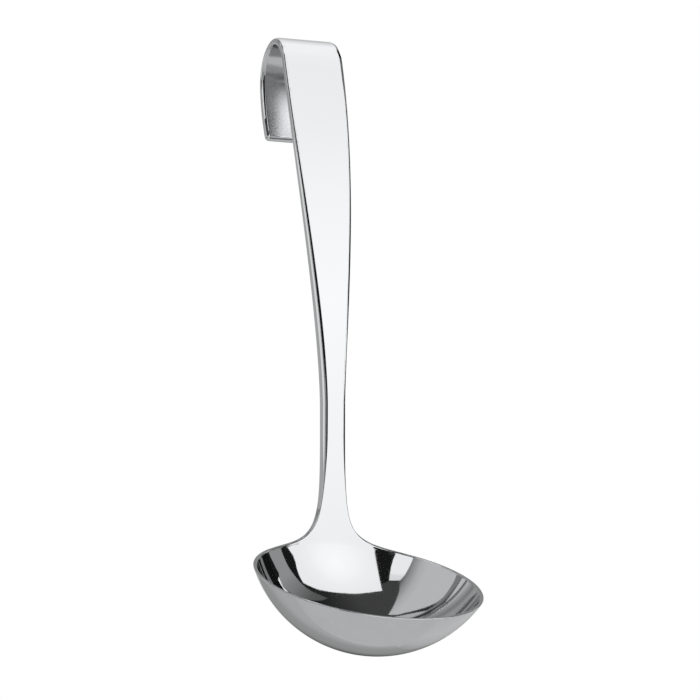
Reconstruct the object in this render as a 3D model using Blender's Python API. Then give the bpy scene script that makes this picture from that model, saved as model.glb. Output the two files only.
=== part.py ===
"""Polished steel sauce ladle with a hooked handle, in metres, +Z up.

The ladle hangs by its hook. The origin is the seat of the hook, the highest point inside its crown.
The neck stands along Z, the bowl reaches towards -Y, the hook turns over towards +Y, and X = 0 is
the plane of symmetry. The bowl is a round pressing with its whole rim. The handle is one forged
bar: its foot spreads along the back of the rim, its neck is thick and narrow, and from there it
widens and thins towards the crown, where it is bent over into the hook.
"""

import math

import bmesh
import bpy
from mathutils import Matrix, Vector

# Bowl
RIM_RADIUS = 0.0330
BOWL_DEPTH = 0.0207
BOWL_WALL = 0.0010
RIM_ROUND = 0.00035
BOWL_TILT = math.radians(25.5)

# Handle, along its middle line from the rim up, over the crown and down the hook's leg
NECK_LENGTH = 0.0400
GRIP_LENGTH = 0.1088
GRIP_BEND_RADIUS = 0.3330
HOOK_RADIUS = 0.0113
HOOK_TURN = math.radians(161.5)
LEG_LENGTH = 0.0191
LEG_TURN = math.radians(24.5)

# Handle, across
NECK_WIDTH = 0.0063
GRIP_WIDTH = 0.0185
TIP_WIDTH = 0.0180
NECK_THICKNESS = 0.0050
CROWN_THICKNESS = 0.0024
TIP_THICKNESS = 0.0022
EDGE_ROUND = 0.0006
TIP_CORNER = 0.0028

# Foot of the handle, where it spreads along the rim and takes the rim's curve
FOOT_HALF_SPAN = 0.0270
FOOT_FLATTENING = 0.0270

# The butt joint between the rim and the foot
JOINT_GAP = 0.0003

# Shapes of the curves: how closely the flare hugs its corner, how early the grip widens, and how
# fast the foot thickens above the rim
FLARE_POWER = 3.0
GRIP_POWER = 0.8
FOOT_SWELL = 2.6

# Largest round of an edge, as a share of the thickness that it is on
MOST_ROUND = 0.35

# Steps of the curved surfaces
BOWL_STEPS = 72
BOWL_RINGS = 15
ROUND_STEPS = 3
FLARE_STEPS = 22
GRIP_STEPS = 28
HOOK_STEPS = 22
LEG_STEPS = 8
TIP_STEPS = 6
FACE_STEPS = 8

STEEL_COLOUR = (0.72, 0.73, 0.74, 1.0)
STEEL_ROUGHNESS = 0.08
SHARP_EDGE = math.radians(40.0)


def polished_steel():
    material = bpy.data.materials.new("polished_steel")
    material.use_nodes = True
    shader = material.node_tree.nodes["Principled BSDF"]
    shader.inputs["Base Color"].default_value = STEEL_COLOUR
    shader.inputs["Metallic"].default_value = 1.0
    shader.inputs["Roughness"].default_value = STEEL_ROUGHNESS
    return material


def finished_object(name, bm, material):
    """An object of the mesh, with its faces turned out and its round faces shaded smooth."""
    bmesh.ops.recalc_face_normals(bm, faces=bm.faces)
    mesh = bpy.data.meshes.new(name)
    bm.to_mesh(mesh)
    bm.free()
    mesh.materials.append(material)
    mesh.shade_smooth()
    mesh.set_sharp_from_angle(angle=SHARP_EDGE)
    part = bpy.data.objects.new(name, mesh)
    bpy.context.scene.collection.objects.link(part)
    return part


def smooth(share):
    """A curve from 0 to 1 that is level at both ends."""
    share = min(max(share, 0.0), 1.0)
    return share * share * (3.0 - 2.0 * share)


def swelling(share, start_slope):
    """The same curve with this slope at its start."""
    share = min(max(share, 0.0), 1.0)
    return smooth(share) + start_slope * share * (1.0 - share) ** 2


# The bowl is the cap of a ball


def outer_ball_radius():
    return (RIM_RADIUS**2 + BOWL_DEPTH**2) / (2.0 * BOWL_DEPTH)


def ball_height():
    """How far the ball's centre lies above the plane of the rim."""
    return outer_ball_radius() - BOWL_DEPTH


def ball_slice(radius, height):
    """The radius of a ball's cut at this height above the plane of the rim."""
    return math.sqrt(radius**2 - (ball_height() - height) ** 2)


def inner_rim_radius():
    return ball_slice(outer_ball_radius() - BOWL_WALL, 0.0)


def middle_rim_radius():
    return (RIM_RADIUS + inner_rim_radius()) / 2.0


def rim_wall():
    """The wall's thickness measured along the plane of the rim."""
    return RIM_RADIUS - inner_rim_radius()


# The handle's middle line


def crown_middle_radius():
    return HOOK_RADIUS - CROWN_THICKNESS / 2.0


def crown_length():
    return crown_middle_radius() * HOOK_TURN


def grip_turn():
    return GRIP_LENGTH / GRIP_BEND_RADIUS


def path_arcs():
    """(length, turn) of each stretch of the middle line, from the rim to the tip."""
    return (
        (NECK_LENGTH, 0.0),
        (GRIP_LENGTH, grip_turn()),
        (crown_length(), HOOK_TURN),
        (LEG_LENGTH, LEG_TURN),
    )


def along_arc(point, lean, length, turn):
    """The end of an arc in the plane of symmetry that starts at a point, leaning back from +Z."""
    if turn == 0.0:
        return point + Vector((0.0, math.sin(lean), math.cos(lean))) * length
    back = math.cos(lean) - math.cos(lean + turn)
    rise = math.sin(lean + turn) - math.sin(lean)
    return point + Vector((0.0, back, rise)) * (length / turn)


def path_at(distance):
    """Point and lean of the middle line this far from the rim, seen from the rim's centre."""
    point = Vector((0.0, math.cos(BOWL_TILT), math.sin(BOWL_TILT))) * middle_rim_radius()
    lean = 0.0
    for length, turn in path_arcs():
        here = min(distance, length)
        point = along_arc(point, lean, here, turn * here / length)
        lean += turn * here / length
        distance -= here
        if distance <= 0.0:
            break
    return point, lean


def hook_seat():
    """The highest point inside the crown, seen from the rim's centre."""
    to_top = (math.pi / 2.0 - grip_turn()) * crown_middle_radius()
    top, _ = path_at(NECK_LENGTH + GRIP_LENGTH + to_top)
    return top - Vector((0.0, 0.0, CROWN_THICKNESS / 2.0))


# The handle's width and thickness


def leg_share(distance):
    """How far down the hook's leg this is, from 0 at the crown to 1 at the tip."""
    return (distance - NECK_LENGTH - GRIP_LENGTH - crown_length()) / LEG_LENGTH


def width_at(distance):
    """Full width of the handle, from the neck to the round corners of the tip."""
    up_grip = (distance - NECK_LENGTH) / GRIP_LENGTH
    if up_grip <= 1.0:
        return NECK_WIDTH + (GRIP_WIDTH - NECK_WIDTH) * smooth(up_grip**GRIP_POWER)
    return GRIP_WIDTH + (TIP_WIDTH - GRIP_WIDTH) * smooth(leg_share(distance))


def thickness_at(distance):
    """Thickness of the handle, from the bowl's wall at the rim to the neck and on to the tip."""
    if distance <= NECK_LENGTH:
        up_neck = distance / NECK_LENGTH
        return rim_wall() + (NECK_THICKNESS - rim_wall()) * swelling(up_neck, FOOT_SWELL)
    up_grip = (distance - NECK_LENGTH) / GRIP_LENGTH
    if up_grip <= 1.0:
        return NECK_THICKNESS + (CROWN_THICKNESS - NECK_THICKNESS) * smooth(up_grip)
    return CROWN_THICKNESS + (TIP_THICKNESS - CROWN_THICKNESS) * smooth(leg_share(distance))


# The handle's sections


def strip_outline(half_width, thickness):
    """(across, outward) round a flat strip with round edges, the front face first."""
    corner = min(EDGE_ROUND, MOST_ROUND * thickness)
    flat = half_width - corner
    face = thickness / 2.0
    for side in (-1.0, 1.0):
        for step in range(FACE_STEPS + 1):
            yield side * flat * (2.0 * step / FACE_STEPS - 1.0), side * face
        for step in range(1, ROUND_STEPS):
            angle = math.pi / 2.0 * step / ROUND_STEPS
            yield side * (flat + corner * math.sin(angle)), side * (face - corner * (1.0 - math.cos(angle)))
        for step in range(ROUND_STEPS):
            angle = math.pi / 2.0 * step / ROUND_STEPS
            yield side * (flat + corner * math.cos(angle)), -side * (face - corner * (1.0 - math.sin(angle)))


def section(distance, half_width, thickness):
    """One ring of the handle, in a plane that is parallel to the rim at the foot.

    Further up, the plane turns square to the middle line, and the strip, which follows the rim's
    curve at the foot, flattens.
    """
    centre, lean = path_at(distance)
    at_rim = 1.0 - smooth(distance / FOOT_FLATTENING)
    slope = BOWL_TILT * at_rim - lean
    outwards = Vector((0.0, math.cos(slope), math.sin(slope)))
    bend = at_rim / middle_rim_radius()
    ring = []
    for across, outward in strip_outline(half_width, thickness):
        if bend > 0.0:
            radius = 1.0 / bend + outward
            turn = across * bend
            across = radius * math.sin(turn)
            outward = radius * math.cos(turn) - 1.0 / bend
        ring.append(centre + Vector((across, 0.0, 0.0)) + outwards * outward - hook_seat())
    return ring


def flare_sections():
    """Rings from the joint with the rim up to the neck, while the foot draws in to the neck."""
    half_neck = NECK_WIDTH / 2.0
    lowest = JOINT_GAP / math.cos(BOWL_TILT)
    start = 1.0 - (lowest / NECK_LENGTH) ** (1.0 / FLARE_POWER)
    for step in range(FLARE_STEPS + 1):
        share = start * (1.0 - step / FLARE_STEPS)
        distance = NECK_LENGTH * (1.0 - share) ** FLARE_POWER
        half_width = half_neck + (FOOT_HALF_SPAN - half_neck) * share**FLARE_POWER
        yield section(distance, half_width, thickness_at(distance))


def bar_sections():
    """Rings up the grip, over the crown and down the leg to the tip's round corners."""
    starts = (NECK_LENGTH, NECK_LENGTH + GRIP_LENGTH, NECK_LENGTH + GRIP_LENGTH + crown_length())
    lengths = (GRIP_LENGTH, crown_length(), LEG_LENGTH - TIP_CORNER)
    for start, length, steps in zip(starts, lengths, (GRIP_STEPS, HOOK_STEPS, LEG_STEPS)):
        for step in range(1, steps + 1):
            distance = start + length * step / steps
            yield section(distance, width_at(distance) / 2.0, thickness_at(distance))


def tip_sections():
    """Rings round the tip's corners, thinning over the last of them for the round of its end."""
    tip = NECK_LENGTH + GRIP_LENGTH + crown_length() + LEG_LENGTH
    for step in range(1, TIP_STEPS + 1):
        angle = math.pi / 2.0 * step / TIP_STEPS
        short = TIP_CORNER * (1.0 - math.sin(angle))
        into_round = max(EDGE_ROUND - short, 0.0)
        thinning = EDGE_ROUND - math.sqrt(EDGE_ROUND**2 - into_round**2)
        half_width = TIP_WIDTH / 2.0 - TIP_CORNER * (1.0 - math.cos(angle))
        yield section(tip - short, half_width, TIP_THICKNESS - 2.0 * thinning)


def handle(material):
    """The forged bar, lofted through its sections and closed at the foot and at the tip."""
    bm = bmesh.new()
    sections = [*flare_sections(), *bar_sections(), *tip_sections()]
    rings = [[bm.verts.new(point) for point in ring] for ring in sections]
    for lower, upper in zip(rings, rings[1:]):
        for n, vert in enumerate(lower):
            bm.faces.new((lower[n - 1], vert, upper[n], upper[n - 1]))
    bm.faces.new(rings[0])
    bm.faces.new(rings[-1])
    return finished_object("handle", bm, material)


def wall_arc(radius, top):
    """(radius, height) up a ball's wall, from its lowest point to this height below the rim."""
    end = math.acos((ball_height() - top) / radius)
    for step in range(BOWL_RINGS + 1):
        angle = end * step / BOWL_RINGS
        yield radius * math.sin(angle), ball_height() - radius * math.cos(angle)


def rim_arc(start_radius, round_size, inwards):
    """(radius, height) round an edge of the rim, from the wall up to the flat top."""
    for step in range(1, ROUND_STEPS + 1):
        angle = math.pi / 2.0 * step / ROUND_STEPS
        aside = inwards * round_size * (1.0 - math.cos(angle))
        yield start_radius + aside, round_size * (math.sin(angle) - 1.0)


def bowl_profile():
    """The wall's outline, from the bottom outside, over the rim, to the bottom inside."""
    outer = outer_ball_radius()
    inner = outer - BOWL_WALL
    rounded = min(RIM_ROUND, MOST_ROUND * rim_wall())
    outside = [*wall_arc(outer, -rounded), *rim_arc(ball_slice(outer, -rounded), rounded, -1.0)]
    inside = [*wall_arc(inner, -rounded), *rim_arc(ball_slice(inner, -rounded), rounded, 1.0)]
    return outside + inside[::-1]


def bowl(material):
    """The round pressing, spun from its wall's profile, with its rim tipped towards the front."""
    bm = bmesh.new()
    verts = [bm.verts.new((radius, 0.0, height)) for radius, height in bowl_profile()]
    edges = [bm.edges.new(pair) for pair in zip(verts, verts[1:])]
    bmesh.ops.spin(
        bm,
        geom=verts + edges,
        axis=(0.0, 0.0, 1.0),
        cent=(0.0, 0.0, 0.0),
        steps=BOWL_STEPS,
        angle=2.0 * math.pi,
        use_merge=True,
    )
    bmesh.ops.remove_doubles(bm, verts=bm.verts, dist=1e-6)
    part = finished_object("bowl", bm, material)
    part.matrix_world = Matrix.Translation(-hook_seat()) @ Matrix.Rotation(BOWL_TILT, 4, "X")
    return part


def build():
    for thing in list(bpy.data.objects):
        bpy.data.objects.remove(thing)
    steel = polished_steel()
    bowl(steel)
    handle(steel)


build()
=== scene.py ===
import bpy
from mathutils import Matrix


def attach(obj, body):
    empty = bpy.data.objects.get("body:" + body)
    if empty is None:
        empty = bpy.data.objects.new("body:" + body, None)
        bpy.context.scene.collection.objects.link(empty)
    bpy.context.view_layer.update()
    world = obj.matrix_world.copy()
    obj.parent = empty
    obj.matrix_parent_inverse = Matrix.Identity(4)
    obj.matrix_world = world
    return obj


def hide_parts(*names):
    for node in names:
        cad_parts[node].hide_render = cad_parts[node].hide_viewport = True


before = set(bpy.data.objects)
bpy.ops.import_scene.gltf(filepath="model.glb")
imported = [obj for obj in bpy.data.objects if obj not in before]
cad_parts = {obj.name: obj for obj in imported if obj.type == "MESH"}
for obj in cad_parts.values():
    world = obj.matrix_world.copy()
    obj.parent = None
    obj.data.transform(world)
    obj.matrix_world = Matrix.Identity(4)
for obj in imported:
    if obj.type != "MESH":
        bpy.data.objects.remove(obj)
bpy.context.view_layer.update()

import math

import bpy
from mathutils import Matrix, Vector

bpy.ops.object.select_all(action="DESELECT")

# Bowl
# A round pressing of 1 mm stainless sheet, the cap of a ball, with its whole lip rounded over. Its
# profile is spun round, the lip is cut away where the handle's foot is welded on, and it is tilted.
RIM_RADIUS = 0.0330
BOWL_DEPTH = 0.0207
WALL = 0.0010
LIP_ROUND = 0.00035
BOWL_TILT = math.radians(25.5)
RIM_CENTRE = Vector((0.0, -0.056464, -0.166500))
SLICES = 288
FOOT_SLICES = 60
BOWL_RINGS = 46
ROUND_STEPS = 10
SIDE_STEPS = 4

BALL_RADIUS = (RIM_RADIUS**2 + BOWL_DEPTH**2) / (2.0 * BOWL_DEPTH)
BALL_HEIGHT = BALL_RADIUS - BOWL_DEPTH
FOOT_ANGLE = math.pi * FOOT_SLICES / SLICES


def ball_slice(radius, height):
    """Radius of the ball's slice at this height over the rim's plane."""
    return math.sqrt(radius**2 - (BALL_HEIGHT - height) ** 2)


INNER_RIM = ball_slice(BALL_RADIUS - WALL, 0.0)
MIDDLE_RIM = (RIM_RADIUS + INNER_RIM) / 2.0


def rounded_edge(half_thickness):
    """(inset, depth) from the front face to the middle of the edge: a plain round."""
    points = []
    for step in range(ROUND_STEPS + 1):
        angle = math.pi / 2.0 * step / ROUND_STEPS
        points.append((LIP_ROUND * (1.0 - math.sin(angle)), LIP_ROUND * (1.0 - math.cos(angle))))
    for step in range(1, SIDE_STEPS + 1):
        points.append((0.0, LIP_ROUND + (half_thickness - LIP_ROUND) * step / SIDE_STEPS))
    return points


HALF_WALL = (RIM_RADIUS - INNER_RIM) / 2.0
lip = [(inset, depth / HALF_WALL - 1.0) for inset, depth in rounded_edge(HALF_WALL)]
lip = lip + [(inset, -through) for inset, through in lip[-2::-1]]


def lip_point(inset, through):
    """(radius, height) of the lip, this far below its top and from -1 inside to 1 outside."""
    inner = ball_slice(BALL_RADIUS - WALL, -inset)
    outer = ball_slice(BALL_RADIUS, -inset)
    return inner + (outer - inner) * (through + 1.0) / 2.0, -inset


profile = []
wall_top = LIP_ROUND + 0.00005
for step in range(BOWL_RINGS + 1):
    radius = BALL_RADIUS - WALL
    angle = math.acos((BALL_HEIGHT + wall_top) / radius) * step / BOWL_RINGS
    profile.append((radius * math.sin(angle), BALL_HEIGHT - radius * math.cos(angle)))
profile += [lip_point(inset, through) for inset, through in lip]
for step in range(BOWL_RINGS, -1, -1):
    angle = math.acos((BALL_HEIGHT + wall_top) / BALL_RADIUS) * step / BOWL_RINGS
    profile.append((BALL_RADIUS * math.sin(angle), BALL_HEIGHT - BALL_RADIUS * math.cos(angle)))

# A ring of as many points is laid on the profile, opened along the axis and spun round it
bpy.ops.mesh.primitive_circle_add(vertices=len(profile), radius=RIM_RADIUS)
bowl = bpy.context.object
bowl.name = "pressed_bowl"
bowl.data.name = "pressed_bowl"
for vertex, (radius, height) in zip(bowl.data.vertices, profile):
    vertex.co = (0.0, radius, height)


def select_edges(thing, wanted):
    """Leaves only the wanted edges selected, and goes into edit mode with them."""
    bpy.ops.object.mode_set(mode="EDIT")
    bpy.ops.mesh.select_mode(type="EDGE")
    bpy.ops.mesh.select_all(action="DESELECT")
    bpy.ops.object.mode_set(mode="OBJECT")
    mesh = thing.data
    for edge in mesh.edges:
        if wanted(mesh.vertices[edge.vertices[0]], mesh.vertices[edge.vertices[1]]):
            edge.select = True
    bpy.ops.object.mode_set(mode="EDIT")


select_edges(bowl, lambda a, b: a.co.y + b.co.y < 1e-6)
bpy.ops.mesh.delete(type="EDGE")
bpy.ops.mesh.select_all(action="SELECT")
bpy.ops.mesh.spin(steps=SLICES, angle=2.0 * math.pi, center=(0.0, 0.0, 0.0), axis=(0.0, 0.0, 1.0))
bpy.ops.mesh.select_all(action="SELECT")
bpy.ops.mesh.remove_doubles(threshold=1e-6)
bpy.ops.mesh.normals_make_consistent(inside=False)

# The lip's back is cut out for the foot, and the cut is closed with a hidden joint face
bpy.ops.mesh.select_mode(type="FACE")
bpy.ops.mesh.select_all(action="DESELECT")
bpy.ops.object.mode_set(mode="OBJECT")
for face in bowl.data.polygons:
    middle = face.center
    face.select = middle.z > -LIP_ROUND and abs(math.atan2(middle.x, middle.y)) < FOOT_ANGLE
bpy.ops.object.mode_set(mode="EDIT")
bpy.ops.mesh.delete(type="FACE")
bpy.ops.mesh.select_mode(type="EDGE")
bpy.ops.mesh.select_all(action="DESELECT")
bpy.ops.mesh.select_non_manifold()
bpy.ops.mesh.mark_sharp()
bpy.ops.object.mode_set(mode="OBJECT")
for edge in bowl.data.edges:
    if max(bowl.data.vertices[end].co.z for end in edge.vertices) > -LIP_ROUND + 1e-6:
        edge.select = False
bpy.ops.object.mode_set(mode="EDIT")
bpy.ops.mesh.bridge_edge_loops()
bpy.ops.mesh.select_all(action="DESELECT")
bpy.ops.mesh.select_non_manifold()
bpy.ops.mesh.fill_holes(sides=0)
bpy.ops.mesh.select_all(action="SELECT")
bpy.ops.mesh.normals_make_consistent(inside=False)
bpy.ops.transform.rotate(value=-BOWL_TILT, orient_axis="X", center_override=(0.0, 0.0, 0.0))
bpy.ops.transform.translate(value=RIM_CENTRE)
bpy.ops.object.mode_set(mode="OBJECT")
bpy.ops.object.shade_smooth()

# Polishing marks, an effect that the bowl's steel and the handle's share: hair lines that the last
# buffing leaves, which come and go in patches where the steel has been handled and wiped
polish = bpy.data.node_groups.new("polishing_marks", "ShaderNodeTree")
for name, in_out, kind in (
    ("Grain", "INPUT", "NodeSocketVector"),
    ("Place", "INPUT", "NodeSocketVector"),
    ("Edge", "INPUT", "NodeSocketFloat"),
    ("Roughness", "OUTPUT", "NodeSocketFloat"),
    ("Height", "OUTPUT", "NodeSocketFloat"),
    ("Wear", "OUTPUT", "NodeSocketFloat"),
):
    polish.interface.new_socket(name=name, in_out=in_out, socket_type=kind)
given = polish.nodes.new("NodeGroupInput")
made = polish.nodes.new("NodeGroupOutput")


def noise(tree, source, scale, detail):
    """A noise texture on these coordinates; gives its value socket."""
    node = tree.nodes.new("ShaderNodeTexNoise")
    node.inputs["Scale"].default_value = scale
    node.inputs["Detail"].default_value = detail
    tree.links.new(source, node.inputs["Vector"])
    return node.outputs["Fac"]


def between(tree, source, low, high, to_low, to_high):
    """The source taken from one range to another and kept inside it."""
    node = tree.nodes.new("ShaderNodeMapRange")
    for name, value in (("From Min", low), ("From Max", high), ("To Min", to_low), ("To Max", to_high)):
        node.inputs[name].default_value = value
    tree.links.new(source, node.inputs["Value"])
    return node.outputs["Result"]


def combined(tree, operation, first, second):
    """Two values added, multiplied or the like; the second may be a plain number."""
    node = tree.nodes.new("ShaderNodeMath")
    node.operation = operation
    tree.links.new(first, node.inputs[0])
    if isinstance(second, float):
        node.inputs[1].default_value = second
    else:
        tree.links.new(second, node.inputs[1])
    return node.outputs[0]


hair_lines = between(polish, noise(polish, given.outputs["Grain"], 1.0, 2.0), 0.58, 0.74, 0.0, 1.0)
handled = between(polish, noise(polish, given.outputs["Place"], 90.0, 2.0), 0.42, 0.66, 0.0, 1.0)
nicks = between(polish, noise(polish, given.outputs["Place"], 700.0, 1.0), 0.50, 0.68, 0.0, 1.0)
worn = combined(polish, "MULTIPLY", given.outputs["Edge"], nicks)
seen_lines = combined(polish, "MULTIPLY", hair_lines, between(polish, handled, 0.0, 1.0, 0.3, 1.0))
rough = between(polish, handled, 0.0, 1.0, 0.040, 0.060)
rough = combined(polish, "ADD", rough, between(polish, seen_lines, 0.0, 1.0, 0.0, 0.07))
rough = combined(polish, "ADD", rough, between(polish, worn, 0.0, 1.0, 0.0, 0.06))
polish.links.new(rough, made.inputs["Roughness"])
polish.links.new(between(polish, seen_lines, 0.0, 1.0, 1.0, 0.0), made.inputs["Height"])
polish.links.new(worn, made.inputs["Wear"])

# The density of the hair lines across the buffing and along it, and the colours of the steel
LINES_ACROSS = 6000.0
LINES_ALONG = 120.0
MIRROR_STEEL = (0.72, 0.73, 0.74, 1.0)
WORN_STEEL = (0.64, 0.645, 0.65, 1.0)
# Painted shade: the steel's colours where it shows in its own reflection, the hook's inside darker still
SHADED_STEEL_IN_REFLECTION = (0.57, 0.575, 0.58, 1.0)
HOOK_SHADE_IN_REFLECTION = (0.47, 0.475, 0.48, 1.0)


def steel(tree, grain, place, edge):
    """Mirror-polished steel, whose colour is painted darker where it shows in its own reflection, a
    painted shade. Gives the roughness of its polish."""
    skin = tree.nodes["Principled BSDF"]
    marks = tree.nodes.new("ShaderNodeGroup")
    marks.node_tree = polish
    tree.links.new(grain, marks.inputs["Grain"])
    tree.links.new(place, marks.inputs["Place"])
    tree.links.new(edge, marks.inputs["Edge"])
    tint = tree.nodes.new("ShaderNodeMix")
    tint.data_type = "RGBA"
    tint.inputs[6].default_value = MIRROR_STEEL
    tint.inputs[7].default_value = WORN_STEEL
    tree.links.new(marks.outputs["Wear"], tint.inputs[0])
    # Painted shade: seen in a reflection, the steel's colour is swapped for a darker one
    again = tree.nodes.new("ShaderNodeLightPath")
    twice = tree.nodes.new("ShaderNodeMix")
    twice.name = "painted_shade_in_steel"
    twice.data_type = "RGBA"
    twice.inputs[7].default_value = SHADED_STEEL_IN_REFLECTION
    tree.links.new(tint.outputs[2], twice.inputs[6])
    tree.links.new(again.outputs["Is Glossy Ray"], twice.inputs[0])
    tree.links.new(twice.outputs[2], skin.inputs["Base Color"])
    ridge = tree.nodes.new("ShaderNodeBump")
    ridge.inputs["Strength"].default_value = 0.02
    ridge.inputs["Distance"].default_value = 0.00001
    tree.links.new(marks.outputs["Height"], ridge.inputs["Height"])
    tree.links.new(ridge.outputs["Normal"], skin.inputs["Normal"])
    skin.inputs["Metallic"].default_value = 1.0
    return marks.outputs["Roughness"]


# The bowl is buffed while it turns, so its hair lines run round its axis
bowl_steel = bpy.data.materials.new("bowl_steel")
bowl_steel.use_nodes = True
tree = bowl_steel.node_tree
where = tree.nodes.new("ShaderNodeTexCoord")
upright = tree.nodes.new("ShaderNodeMapping")
upright.vector_type = "TEXTURE"
upright.inputs["Location"].default_value = RIM_CENTRE
upright.inputs["Rotation"].default_value = (BOWL_TILT, 0.0, 0.0)
tree.links.new(where.outputs["Object"], upright.inputs["Vector"])
parts = tree.nodes.new("ShaderNodeSeparateXYZ")
tree.links.new(upright.outputs["Vector"], parts.inputs["Vector"])
across_axis = combined(tree, "MULTIPLY", parts.outputs["X"], parts.outputs["X"])
along_axis = combined(tree, "MULTIPLY", parts.outputs["Y"], parts.outputs["Y"])
from_axis = tree.nodes.new("ShaderNodeMath")
from_axis.operation = "SQRT"
tree.links.new(combined(tree, "ADD", across_axis, along_axis), from_axis.inputs[0])
rings = tree.nodes.new("ShaderNodeCombineXYZ")
tree.links.new(combined(tree, "MULTIPLY", from_axis.outputs[0], LINES_ACROSS), rings.inputs["X"])
tree.links.new(combined(tree, "MULTIPLY", parts.outputs["Z"], LINES_ACROSS), rings.inputs["Y"])
tree.links.new(combined(tree, "MULTIPLY", parts.outputs["X"], LINES_ALONG), rings.inputs["Z"])
at_lip = between(tree, parts.outputs["Z"], -0.0006, -0.0001, 0.0, 1.0)
bowl_rough = steel(tree, rings.outputs["Vector"], where.outputs["Object"], at_lip)
tree.links.new(bowl_rough, tree.nodes["Principled BSDF"].inputs["Roughness"])
bowl.data.materials.append(bowl_steel)

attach(bowl, "root")
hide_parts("bowl")

# Handle
# One forged and drawn bar of stainless steel. Its foot is butt-welded along the back of the rim, ground
# flush and polished over. From there a thick neck widens into a flat grip with broken edges, whose top
# is bent over backwards into a hook.
NECK_LENGTH = 0.0400
GRIP_LENGTH = 0.1088
GRIP_BEND_RADIUS = 0.3330
HOOK_RADIUS = 0.0113
HOOK_TURN = math.radians(161.5)
LEG_LENGTH = 0.0191
LEG_TURN = math.radians(24.5)
NECK_WIDTH = 0.0063
GRIP_WIDTH = 0.0185
TIP_WIDTH = 0.0180
NECK_THICKNESS = 0.0050
CROWN_THICKNESS = 0.0024
TIP_THICKNESS = 0.0022
TIP_CORNER = 0.0013
FOOT_HALF_SPAN = 0.0270
FOOT_FLATTENING = 0.0150
FOOT_TURNING = 0.0200
FOOT_SWELL = 2.6
FOOT_SOFTNESS = 0.03
BREAK_START = 0.0100
BREAK_LENGTH = 0.0220
NECK_BEVEL = 24.5
CROWN_BEVEL = 19.3
LEG_BEVEL = 23.8
BEVEL_SPREAD = 2.5
BEVEL_WIDTH = 0.00075
FACE_ROUND = 0.00008
SIDE_ROUND = 0.00020
LEG_SIDE_ROUND = 0.00050
SIDE_LEAN = 76.0
LEG_EDGE_LEAD = 0.0100
LEG_EDGE_LENGTH = 0.0080
CROWN_PULL = 0.00045
CROWN_PULL_LENGTH = 0.0040
DULL_AND_SHADE_LENGTH = 0.0120

FLARE_ROWS = 96
GRIP_ROWS = 80
CROWN_ROWS = 70
LEG_ROWS = 18
CORNER_ROWS = 8
BLEND_ROWS = 10

CROWN_RADIUS = HOOK_RADIUS - CROWN_THICKNESS / 2.0
CROWN_LENGTH = CROWN_RADIUS * HOOK_TURN
GRIP_TOP = NECK_LENGTH + GRIP_LENGTH
LEG_START = GRIP_TOP + CROWN_LENGTH
TIP = LEG_START + LEG_LENGTH


def smooth(share):
    """From 0 to 1, setting off and arriving level."""
    share = min(max(share, 0.0), 1.0)
    return share * share * (3.0 - 2.0 * share)


def swelling(share, start_slope):
    """From 0 to 1 like smooth, but setting off at this slope."""
    share = min(max(share, 0.0), 1.0)
    return smooth(share) + start_slope * share * (1.0 - share) ** 2


def middle_line(distance):
    """Point and backward lean of the bar's middle line, this far above the rim."""
    point = RIM_CENTRE + Vector((0.0, math.cos(BOWL_TILT), math.sin(BOWL_TILT))) * MIDDLE_RIM
    lean = 0.0
    stretches = (
        (NECK_LENGTH, 0.0),
        (GRIP_LENGTH, GRIP_LENGTH / GRIP_BEND_RADIUS),
        (CROWN_LENGTH, HOOK_TURN),
        (LEG_LENGTH, LEG_TURN),
    )
    for length, whole_turn in stretches:
        here = min(distance, length)
        turn = whole_turn * here / length
        if turn == 0.0:
            point = point + Vector((0.0, math.sin(lean), math.cos(lean))) * here
        else:
            back = math.cos(lean) - math.cos(lean + turn)
            rise = math.sin(lean + turn) - math.sin(lean)
            point = point + Vector((0.0, back, rise)) * (here / turn)
        lean += turn
        distance -= here
        if distance <= 0.0:
            break
    return point, lean


def half_width_at(distance):
    """Half the bar's width this far above the rim, beyond the flare."""
    up_grip = (distance - NECK_LENGTH) / GRIP_LENGTH
    if up_grip <= 1.0:
        return (NECK_WIDTH + (GRIP_WIDTH - NECK_WIDTH) * smooth(max(up_grip, 0.0) ** 0.8)) / 2.0
    return (GRIP_WIDTH + (TIP_WIDTH - GRIP_WIDTH) * smooth((distance - LEG_START) / LEG_LENGTH)) / 2.0


def half_thickness_at(distance):
    """Half the bar's thickness this far above the rim."""
    if distance <= NECK_LENGTH:
        share = max(distance, 0.0) / NECK_LENGTH
        share = math.hypot(share, FOOT_SOFTNESS) - FOOT_SOFTNESS
        return HALF_WALL + (NECK_THICKNESS / 2.0 - HALF_WALL) * swelling(share, FOOT_SWELL)
    up_grip = (distance - NECK_LENGTH) / GRIP_LENGTH
    if up_grip <= 1.0:
        return (NECK_THICKNESS + (CROWN_THICKNESS - NECK_THICKNESS) * smooth(up_grip)) / 2.0
    leg = smooth((distance - LEG_START) / LEG_LENGTH)
    return (CROWN_THICKNESS + (TIP_THICKNESS - CROWN_THICKNESS) * leg) / 2.0


def on_bar(across, distance, outward):
    """A point of the bar: across and up its middle sheet, and this far out behind it."""
    centre, lean = middle_line(distance)
    share = distance / FOOT_FLATTENING
    slope = BOWL_TILT * (1.0 - smooth(distance / FOOT_TURNING)) - lean
    outwards = Vector((0.0, math.cos(slope), math.sin(slope)))
    opening = FOOT_FLATTENING * math.sin(BOWL_TILT) / MIDDLE_RIM
    bend = (1.0 - swelling(share, opening)) / MIDDLE_RIM
    if bend > 1e-6:
        radius = 1.0 / bend + outward
        turn = across * bend
        across = radius * math.sin(turn)
        outward = radius * math.cos(turn) - 1.0 / bend
    return centre + Vector((across, 0.0, 0.0)) + outwards * outward


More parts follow.
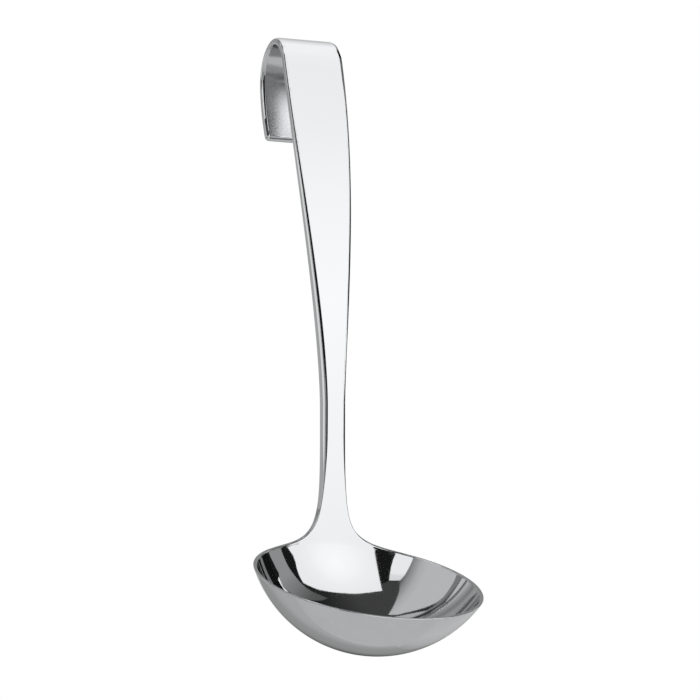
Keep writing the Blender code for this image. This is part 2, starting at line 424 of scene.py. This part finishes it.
def broken_edge(half_thickness, bevel, side_round):
    """(inset, depth) from the front face to the middle of the edge: a bevel at this angle in degrees,
    a tight round and a side that leans less and less. It has as many points as a plain round."""
    inset, depth = 0.0, 0.0
    points = [(inset, depth)]
    bends = (
        (0.0, bevel - BEVEL_SPREAD, FACE_ROUND, 2),
        (bevel - BEVEL_SPREAD, bevel + BEVEL_SPREAD, BEVEL_WIDTH, 3),
        (bevel + BEVEL_SPREAD, SIDE_LEAN, side_round, 5),
    )
    for start, end, length, steps in bends:
        for step in range(steps):
            angle = math.radians(start + (end - start) * (step + 0.5) / steps)
            inset -= math.cos(angle) * length / steps
            depth += math.sin(angle) * length / steps
            points.append((inset, depth))
    corner = inset
    side = half_thickness - depth
    for step in range(SIDE_STEPS):
        angle = math.radians(SIDE_LEAN + (90.0 - SIDE_LEAN) * (step + 0.5) / SIDE_STEPS)
        inset -= side / SIDE_STEPS / math.tan(angle)
        depth += side / SIDE_STEPS
        points.append((inset, depth))
    return [(inset - corner, depth) for inset, depth in points]


def edge_of(half_thickness, breaking, bevel, side_round):
    """(inset, outward) round the edge from the front face to the back, from round to broken."""
    broken = broken_edge(half_thickness, bevel, side_round)
    front = []
    for (inset, depth), (broken_inset, broken_depth) in zip(rounded_edge(half_thickness), broken):
        inset += (broken_inset - inset) * breaking
        depth += (broken_depth - depth) * breaking
        front.append((inset, depth - half_thickness))
    return front + [(inset, -outward) for inset, outward in front[-2::-1]]


foot_spread = FOOT_HALF_SPAN - NECK_WIDTH / 2.0
foot_corner = ((FOOT_ANGLE * MIDDLE_RIM - NECK_WIDTH / 2.0) / foot_spread) ** (1.0 / 3.0)

# Stations up the bar: (across, distance) of its outline, and which way the outline faces there
stations = []
for row in range(1, FLARE_ROWS + 1):
    share = foot_corner * (1.0 - row / FLARE_ROWS)
    across = NECK_WIDTH / 2.0 + foot_spread * share**3
    distance = NECK_LENGTH * (1.0 - share) ** 3
    along = (-3.0 * foot_spread * share**2, 3.0 * NECK_LENGTH * (1.0 - share) ** 2)
    size = math.hypot(*along)
    stations.append((across, distance, along[1] / size, -along[0] / size))
for start, length, rows in (
    (NECK_LENGTH, GRIP_LENGTH, GRIP_ROWS),
    (GRIP_TOP, CROWN_LENGTH, CROWN_ROWS),
    (LEG_START, LEG_LENGTH - TIP_CORNER, LEG_ROWS),
):
    for row in range(1, rows + 1):
        distance = start + length * row / rows
        widening = (half_width_at(distance + 1e-5) - half_width_at(distance - 1e-5)) / 2e-5
        size = math.hypot(1.0, widening)
        stations.append((half_width_at(distance), distance, 1.0 / size, -widening / size))
for row in range(1, CORNER_ROWS + 1):
    angle = math.pi / 2.0 * row / CORNER_ROWS
    across = half_width_at(TIP) - TIP_CORNER * (1.0 - math.cos(angle))
    distance = TIP - TIP_CORNER * (1.0 - math.sin(angle))
    stations.append((across, distance, math.cos(angle), math.sin(angle)))


def section(station):
    """The bar's straight section at one station: (across, distance, outward) round it, front first."""
    across, distance, aside, ahead = station
    breaking = smooth((distance - BREAK_START) / BREAK_LENGTH)
    up_grip = smooth((distance - NECK_LENGTH) / GRIP_LENGTH)
    on_leg = smooth((distance - LEG_START + LEG_EDGE_LEAD) / LEG_EDGE_LENGTH)
    bevel = NECK_BEVEL + (CROWN_BEVEL - NECK_BEVEL) * up_grip + (LEG_BEVEL - CROWN_BEVEL) * on_leg
    side_round = SIDE_ROUND + (LEG_SIDE_ROUND - SIDE_ROUND) * on_leg
    pull = CROWN_PULL * smooth((distance - GRIP_TOP) / CROWN_PULL_LENGTH)
    pull *= smooth((LEG_START - distance) / CROWN_PULL_LENGTH)
    rim = []
    half_thickness = half_thickness_at(distance)
    for inset, outward in edge_of(half_thickness, breaking, bevel, side_round):
        inset += pull * max(-outward / half_thickness, 0.0) ** 1.5
        rim.append((across - aside * inset, distance - ahead * inset, outward))
    front = rim[0]
    back = rim[-1]
    points = []
    for column in range(FOOT_SLICES + 1):
        points.append((front[0] * (2.0 * column / FOOT_SLICES - 1.0), front[1], front[2]))
    points += rim[1:-1]
    for column in range(FOOT_SLICES + 1):
        points.append((back[0] * (1.0 - 2.0 * column / FOOT_SLICES), back[1], back[2]))
    points += [(-across, distance, outward) for across, distance, outward in rim[-2:0:-1]]
    return points


def foot_section():
    """The first section, bent: the edge of the cut in the bowl's lip."""
    slice_angle = 2.0 * FOOT_ANGLE / FOOT_SLICES
    angles = [slice_angle * column - FOOT_ANGLE for column in range(FOOT_SLICES + 1)]
    spots = [(angle, lip[0]) for angle in angles]
    spots += [(FOOT_ANGLE, entry) for entry in lip[1:-1]]
    spots += [(-angle, lip[-1]) for angle in angles]
    spots += [(-FOOT_ANGLE, entry) for entry in lip[-2:0:-1]]
    points = []
    for angle, (inset, through) in spots:
        radius, height = lip_point(inset, through)
        flat = Vector((radius * math.sin(angle), radius * math.cos(angle), height))
        points.append(Matrix.Rotation(BOWL_TILT, 3, "X") @ flat + RIM_CENTRE)
    return points


# The first rows are eased from the lip's cut into the bar's own shape
straight = [section((FOOT_ANGLE * MIDDLE_RIM, 0.0, 0.0, 1.0))]
bent = [foot_section()]
offsets = [at_lip_cut - on_bar(*point) for at_lip_cut, point in zip(bent[0], straight[0])]
for number, station in enumerate(stations, start=1):
    straight.append(section(station))
    fade = 1.0 - smooth(number / (BLEND_ROWS + 1))
    bent.append([on_bar(*point) + offset * fade for point, offset in zip(straight[-1], offsets)])

# A grid with a row for each station and a column for each point round it is laid on the sections. Its
# points keep their place on the straight bar, and whether they lie on a broken edge, which wears
# first, or on the hook's inner face.
COLUMNS = len(bent[0])
ROWS = len(bent) - 1
STRIP = len(lip)
BACK_START = FOOT_SLICES + STRIP - 1
WORN_POINTS = range(2, 9)
bpy.ops.mesh.primitive_grid_add(x_subdivisions=COLUMNS, y_subdivisions=ROWS, size=2.0)
handle = bpy.context.object
handle.name = "forged_handle"
handle.data.name = "forged_handle"
bar_place = handle.data.attributes.new("bar_place", "FLOAT_VECTOR", "POINT")
bar_edge = handle.data.attributes.new("bar_edge", "FLOAT", "POINT")
in_hook = handle.data.attributes.new("in_hook", "FLOAT", "POINT")
for index, vertex in enumerate(handle.data.vertices):
    row, column = divmod(index, COLUMNS + 1)
    column %= COLUMNS
    vertex.co = bent[row][column]
    across, distance, outward = straight[row][column]
    bar_place.data[index].vector = (across, distance, outward)
    round_edge = column % BACK_START - FOOT_SLICES
    bar_edge.data[index].value = float(min(round_edge, STRIP - 1 - round_edge) in WORN_POINTS)
    if BACK_START <= column <= BACK_START + FOOT_SLICES:
        in_hook.data[index].value = smooth((distance - GRIP_TOP + DULL_AND_SHADE_LENGTH) / DULL_AND_SHADE_LENGTH)


def chains(row, starts, length):
    """Picks the edges of one row of the grid that lie within this length from one of these columns."""

    def wanted(a, b):
        if a.index // (COLUMNS + 1) != row or b.index // (COLUMNS + 1) != row:
            return False
        columns = sorted((a.index % (COLUMNS + 1), b.index % (COLUMNS + 1)))
        return any(start <= columns[0] and columns[1] <= start + length for start in starts)
    return wanted


# Across the tip the edge's profile is carried from side to side; the joint is closed with hidden faces
select_edges(handle, chains(ROWS, (FOOT_SLICES, BACK_START + FOOT_SLICES), STRIP - 1))
bpy.ops.mesh.bridge_edge_loops(number_cuts=FOOT_SLICES - 1, interpolation="LINEAR")
select_edges(handle, chains(0, (0,), COLUMNS))
bpy.ops.mesh.mark_sharp()
select_edges(handle, chains(0, (0, BACK_START), FOOT_SLICES))
bpy.ops.mesh.bridge_edge_loops()
bpy.ops.mesh.select_all(action="SELECT")
bpy.ops.mesh.remove_doubles(threshold=2e-7)
bpy.ops.mesh.select_all(action="DESELECT")
bpy.ops.mesh.select_non_manifold()
bpy.ops.mesh.fill_holes(sides=0)
bpy.ops.mesh.select_all(action="SELECT")
bpy.ops.mesh.normals_make_consistent(inside=False)
bpy.ops.object.mode_set(mode="OBJECT")
bpy.ops.object.shade_smooth()

# The handle is buffed lengthwise, so its hair lines run along the bar and round the hook. The buffing
# wheel hardly reaches the inside of the hook, which stays duller; there it also gets a darker painted
# shade where the steel shows in its own reflection.
handle_steel = bpy.data.materials.new("handle_steel")
handle_steel.use_nodes = True
tree = handle_steel.node_tree
bar = tree.nodes.new("ShaderNodeAttribute")
bar.attribute_name = "bar_place"
lengthwise = tree.nodes.new("ShaderNodeMapping")
lengthwise.inputs["Scale"].default_value = (LINES_ACROSS, LINES_ALONG, LINES_ACROSS)
tree.links.new(bar.outputs["Vector"], lengthwise.inputs["Vector"])
edges = tree.nodes.new("ShaderNodeAttribute")
edges.attribute_name = "bar_edge"
inside = tree.nodes.new("ShaderNodeAttribute")
inside.attribute_name = "in_hook"
where = tree.nodes.new("ShaderNodeTexCoord")
handle_rough = steel(tree, lengthwise.outputs["Vector"], where.outputs["Object"], edges.outputs["Fac"])
duller = between(tree, inside.outputs["Fac"], 0.0, 1.0, 0.0, 0.11)
# Painted shade: the hook's inside is darker where the steel shows in its own reflection
painted_hook_shade = tree.nodes.new("ShaderNodeMix")
painted_hook_shade.data_type = "RGBA"
painted_hook_shade.inputs[6].default_value = SHADED_STEEL_IN_REFLECTION
painted_hook_shade.inputs[7].default_value = HOOK_SHADE_IN_REFLECTION
tree.links.new(inside.outputs["Fac"], painted_hook_shade.inputs[0])
tree.links.new(painted_hook_shade.outputs[2], tree.nodes["painted_shade_in_steel"].inputs[7])
rough = combined(tree, "ADD", handle_rough, duller)
tree.links.new(rough, tree.nodes["Principled BSDF"].inputs["Roughness"])
handle.data.materials.append(handle_steel)

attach(handle, "root")
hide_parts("handle")

# Floor
# A pale matt sheet of studio card well below the hanging ladle, slightly rubbed in patches. Its far edge
# runs out under the white air.
bpy.ops.mesh.primitive_plane_add(size=12.0, location=(0.0, 0.0, -0.50))
bpy.ops.object.transform_apply(location=True, rotation=True, scale=True)
floor = bpy.context.object
floor.name = "floor"
pale_floor = bpy.data.materials.new("pale_matt_floor")
pale_floor.use_nodes = True
tree = pale_floor.node_tree
floor_skin = tree.nodes["Principled BSDF"]
floor_skin.inputs["Specular IOR Level"].default_value = 0.2
where = tree.nodes.new("ShaderNodeTexCoord")
rubbed = noise(tree, where.outputs["Object"], 9.0, 4.0)
tree.links.new(between(tree, rubbed, 0.35, 0.65, 0.785, 0.815), floor_skin.inputs["Base Color"])
tree.links.new(between(tree, rubbed, 0.35, 0.65, 0.82, 0.95), floor_skin.inputs["Roughness"])
floor.data.materials.append(pale_floor)

# White air
# The studio's white surroundings, which the camera and the steel both see. They light the floor at a
# plain level.
white_air = bpy.data.worlds.new("white_air")
bpy.context.scene.world = white_air
white_air.use_nodes = True
tree = white_air.node_tree
air = tree.nodes["Background"]
air.inputs["Color"].default_value = (1.0, 1.0, 1.0, 1.0)
light_path = tree.nodes.new("ShaderNodeLightPath")
seen = combined(tree, "MAXIMUM", light_path.outputs["Is Camera Ray"], light_path.outputs["Is Glossy Ray"])
seen = combined(tree, "MAXIMUM", seen, light_path.outputs["Is Transmission Ray"])
tree.links.new(between(tree, seen, 0.0, 1.0, 0.55, 1.0), air.inputs["Strength"])

# Overhead lamp
# A soft round lamp high over the ladle, which gives the floor its shadow. The steel mirrors the boards,
# not the lamp.
bpy.ops.object.light_add(type="AREA", location=(0.0, -0.1, 0.45))
lamp = bpy.context.object
lamp.name = "overhead_lamp"
lamp.data.shape = "DISK"
lamp.data.size = 0.6
lamp.data.energy = 1.8
lamp.visible_glossy = False
lamp.visible_camera = False

# Boards round the ladle
# White, grey and black boards that the polished steel mirrors, as in a studio for polished ware. The
# camera looks in between the key board and the narrow one. It doesn't see them, nor does anything matt.
BOWL_MIDDLE = Vector((0.0, -0.060, -0.165))
BOARD_LIGHT = 4.0


def towards(azimuth, elevation):
    """The direction at this azimuth from -Y towards +X, and at this elevation, both in degrees."""
    azimuth = math.radians(azimuth)
    elevation = math.radians(elevation)
    level = math.cos(elevation)
    return Vector((math.sin(azimuth) * level, -math.cos(azimuth) * level, math.sin(elevation)))


def on_board(azimuth, elevation, distance, facing):
    """The point of a flat board that lies in this direction from the bowl's middle."""
    ray = towards(azimuth, elevation)
    return BOWL_MIDDLE + ray * (distance / ray.dot(towards(*facing)))


def card(name, corners, spots, glow="along", from_reflection=1):
    """A flat card with these corners. Its light goes from shade to shade over these spots, along a
    straight line or round the first spot. Only the steel sees it, from this reflection on."""
    bpy.ops.mesh.primitive_circle_add(vertices=len(corners), fill_type="NGON")
    sheet = bpy.context.object
    sheet.name = name
    for vertex, corner in zip(sheet.data.vertices, corners):
        vertex.co = corner
    paint = bpy.data.materials.new(name)
    paint.use_nodes = True
    tree = paint.node_tree
    tree.nodes.clear()
    first = spots[0][0]
    line = (spots[-1][0] - first).normalized()
    where = tree.nodes.new("ShaderNodeTexCoord")
    place = tree.nodes.new("ShaderNodeVectorMath")
    tree.links.new(where.outputs["Object"], place.inputs[0])
    if glow == "round":
        place.operation = "DISTANCE"
        place.inputs[1].default_value = first
        start = 0.0
        steps = [((spot - first).length, shade) for spot, shade in spots]
    else:
        place.operation = "DOT_PRODUCT"
        place.inputs[1].default_value = line
        start = first.dot(line)
        steps = [((spot - first).dot(line), shade) for spot, shade in spots]
    length = max(steps[-1][0], 0.001)
    ramp = tree.nodes.new("ShaderNodeValToRGB")
    stops = ramp.color_ramp.elements
    stops.remove(stops[-1])
    for number, (step, shade) in enumerate(steps):
        stop = stops[0] if number == 0 else stops.new(step / length)
        level = shade / BOARD_LIGHT
        stop.color = (level, level, level, 1.0)
    share = between(tree, place.outputs["Value"], start, start + length, 0.0, 1.0)
    tree.links.new(share, ramp.inputs["Fac"])
    light = tree.nodes.new("ShaderNodeEmission")
    light.inputs["Strength"].default_value = BOARD_LIGHT
    tree.links.new(ramp.outputs["Color"], light.inputs["Color"])
    out = tree.nodes.new("ShaderNodeOutputMaterial")
    shown = light.outputs["Emission"]
    if from_reflection == 1:
        # Sampled as lamps, the large cards would speckle the floor's sheen
        paint.cycles.emission_sampling = "NONE"
    else:
        path = tree.nodes.new("ShaderNodeLightPath")
        depth = float(from_reflection)
        clear = tree.nodes.new("ShaderNodeBsdfTransparent")
        either = tree.nodes.new("ShaderNodeMixShader")
        late = between(tree, path.outputs["Ray Depth"], depth - 1.0, depth, 0.0, 1.0)
        tree.links.new(late, either.inputs[0])
        tree.links.new(clear.outputs["BSDF"], either.inputs[1])
        tree.links.new(shown, either.inputs[2])
        shown = either.outputs["Shader"]
    tree.links.new(shown, out.inputs["Surface"])
    sheet.data.materials.append(paint)
    sheet.visible_camera = False
    sheet.visible_diffuse = False
    sheet.visible_shadow = False


def board(name, distance, facing, corners, shades, glow="along"):
    """A card that stands this far off and faces the bowl. Its corners and shades lie in these
    directions."""
    if isinstance(shades, float):
        shades = [(facing[0], facing[1], shades)]
    points = [on_board(azimuth, elevation, distance, facing) for azimuth, elevation in corners]
    spots = []
    for azimuth, elevation, shade in shades:
        spots.append((on_board(azimuth, elevation, distance, facing), shade))
    card(name, points, spots, glow)


# The key board, with the glow of its lamp brightest in the middle, and the narrow board left of it
board("key_board", 1.0, (10, 0), [
    (-18, -12), (-18.5, 18), (-21.5, 34.5), (-24, 45), (-27.5, 55), (-18, 56), (-4, 57), (11, 57),
    (25, 55), (38, 52.5), (50, 49), (58, 46), (65, 42), (71, 38), (70.5, 34), (69, 29), (67, 24),
    (67.5, 19.5), (70.5, 16), (74, 12.5), (66, 9), (62, -12),
], [(22, 26, 1.30), (38, 22, 1.24), (50, 20, 1.16), (62, 10, 1.12)], "round")
board("narrow_board", 1.0, (-45, 0), [
    (-39.5, 13), (-39, 18), (-36.5, 24), (-35, 31), (-34.5, 38.5), (-34.5, 44.5), (-47.5, 44),
    (-51, 39), (-54, 31), (-56, 24), (-57.5, 13),
], [(-45, 37.5, 1.10), (-45, 40, 0.93)])

# Black cloth behind them and overhead, which greys towards the left
BLACK_CLOTH = 0.012
board("black_behind_key", 2.2, (10, 0), [
    (-62, -8), (-62, 46), (-28, 62), (60, 62), (84, 46), (84, -8),
], BLACK_CLOTH)
board("black_ceiling", 3.0, (20, 90), [
    (-30, 44), (-47, 45.5), (-60, 50), (-80, 70), (-130, 75), (180, 68), (130, 70), (85, 60),
    (75, 45), (60, 38), (20, 44),
], [(68, 54, 0.018), (53, 58, 0.030), (38, 61, 0.042), (22, 63, 0.054), (6, 65, 0.062)])

# Grey boards on the left, shaded towards the ceiling, with a dark gap between the front and the back one
board("grey_left", 1.3, (-85, 35), [
    (-40, 20), (-46, 44), (-47.5, 46), (-51, 54), (-53, 62), (-57, 71), (-68, 80.5), (-92, 77),
    (-99, 72), (-106, 67), (-111.5, 62.5), (-116, 58), (-119.5, 53), (-120, 48), (-117.5, 42),
    (-115.5, 36), (-112, 30), (-110, 16), (-58, 14),
], [
    (-47.5, 46, 0.11), (-50.5, 46.5, 0.24), (-53, 47.5, 0.33), (-57, 48, 0.41), (-59.5, 48.5, 0.46),
    (-63, 49, 0.54), (-74.5, 49.5, 0.62),
])
board("black_left_back", 3.0, (-120, 40), [
    (-85, 10), (-85, 75), (-100, 85), (-150, 75), (-150, 10),
], [(-120, 50, 0.24), (-120, 56, 0.03)])
board("grey_left_back", 1.5, (-160, 45), [
    (-124, 22), (-129.5, 31), (-132, 38), (-132, 46), (-130.5, 52), (-125, 58.5), (-115, 66),
    (-107, 72), (-98, 79), (150, 84), (180, 60), (180, 14), (-140, 14),
], [
    (-130, 45, 0.56), (-136, 45, 0.53), (-138.5, 45, 0.50), (-141.5, 45, 0.41), (-145, 45, 0.35),
    (-150.5, 45, 0.25), (-154.5, 45, 0.27), (-160, 45, 0.37), (-175, 45, 0.36),
])

# Grey on the right, darker upwards, with a white sliver that ends at black cloth
board("grey_right", 1.3, (85, 25), [
    (84, 2), (82.5, 16), (81, 21), (80, 25.5), (77, 33), (75.5, 37), (72.5, 42), (68.5, 46),
    (62.5, 50.5), (56.5, 54.5), (67, 54), (85, 48), (105, 34), (107, 30.5), (103, 27.5), (100, 26),
    (101.5, 20.5), (105, 15), (107, 2),
], [
    (85, 30, 0.35), (85, 35, 0.28), (85, 38, 0.25), (85, 43, 0.18), (85, 48, 0.125), (85, 55, 0.11),
])
board("white_sliver", 1.2, (105, 30), [
    (103.5, 27), (108, 27.5), (114.5, 29), (117, 34), (105, 36), (107.5, 31),
], 1.1)
board("black_right", 3.4, (95, 20), [(62, -8), (62, 55), (124, 55), (124, -8)], BLACK_CLOTH)
board("grey_back_high", 3.2, (160, 40), [
    (120, 8), (120, 70), (150, 84), (-150, 84), (-140, 50), (-140, 8),
], 0.30)

# Low boards all round, which the handle's edges and the bowl's underside mirror
board("grey_low_left", 1.1, (-70, 0), [(-30, -17), (-30, 12.5), (-112, 12.5), (-112, -17)], 0.33)
board("black_low_left", 1.0, (-70, 0), [(-30, 12.5), (-33, 20), (-105, 20), (-112, 12.5)], 0.04)
board("grey_low_side", 1.2, (-130, 0), [(-112, -17), (-112, 8), (-146, 8), (-146, -17)], 0.37)
board("light_side", 1.1, (-130, 0), [(-112, 8), (-112, 18), (-146, 18), (-146, 8)], 0.90)
board("grey_back", 1.1, (180, 0), [(-145, 0), (-145, 16), (145, 16), (145, 0)], 0.45)
board("black_low_right", 1.1, (105, 0), [(68, 8), (68, 11), (146, 14), (146, 8)], 0.04)
board("low_back", 0.35, (175, 0), [(150, -47), (150, 0), (-140, 0), (-140, -47)], [
    (162, -8, 0.09), (167.5, -8, 0.15), (173, -8, 0.25), (178, -8, 0.30), (186, -8, 0.34),
    (192.5, -8, 0.35), (197.5, -8, 0.39), (203, -8, 0.45), (210.5, -8, 0.49),
], "round")
board("low_right", 0.33, (105, 0), [(60, -48), (60, 8), (150, 8), (150, -48)], [
    (150, 0, 0.40), (145, 0, 0.52), (135, 0, 0.60), (100, 0, 0.57),
])

# Hook cards
# A white card close over the crown that falls off to grey behind it. A small bright one behind the hook
# and a black flag right of the foot serve only what the steel shows of itself.
HOOK_CARD_HEIGHT = 0.03
card("hook_card", [
    (-0.020, -0.042, HOOK_CARD_HEIGHT), (0.030, -0.042, HOOK_CARD_HEIGHT),
    (0.032, 0.060, HOOK_CARD_HEIGHT), (-0.002, 0.060, HOOK_CARD_HEIGHT),
    (-0.020, -0.005, HOOK_CARD_HEIGHT),
], [
    (Vector((0.0, -0.042, HOOK_CARD_HEIGHT)), 1.15),
    (Vector((0.0, -0.020, HOOK_CARD_HEIGHT)), 1.20),
    (Vector((0.0, -0.001, HOOK_CARD_HEIGHT)), 1.20),
    (Vector((0.0, 0.029, HOOK_CARD_HEIGHT)), 0.62),
])
card("hook_back_card", [
    (0.016, 0.065, -0.065), (0.050, 0.065, -0.065), (0.050, 0.065, 0.012), (0.016, 0.065, 0.012),
], [
    (Vector((0.03, 0.065, -0.060)), 0.3),
    (Vector((0.03, 0.065, -0.020)), 2.8),
], from_reflection=2)
FLAG_DISTANCE = 0.060
FOOT_FACE = Vector((0.001, -0.028, -0.152))
card("black_flag", [
    FOOT_FACE + towards(azimuth, elevation) * FLAG_DISTANCE
    for azimuth, elevation in ((71, 8), (72, 33), (56, 36), (48, 28), (48, 12))
], [(FOOT_FACE, BLACK_CLOTH)], from_reflection=2)

# Camera
# It stands in front of the ladle, a little to its left and below the bowl, and looks up at it through
# a long lens, so that the floor stays out of the picture and the ladle hangs in front of plain white.
bpy.ops.object.camera_add(
    location=(-0.4598, -1.2616, -0.3233),
    rotation=(math.radians(99.79), 0.0, math.radians(-20.65)),
)
camera = bpy.context.object
camera.name = "camera"
camera.data.sensor_width = 36.0
camera.data.lens = 236.6
camera.data.clip_start = 0.05
camera.data.clip_end = 20.0
bpy.context.scene.camera = camera
bpy.context.scene.view_settings.view_transform = "Standard"
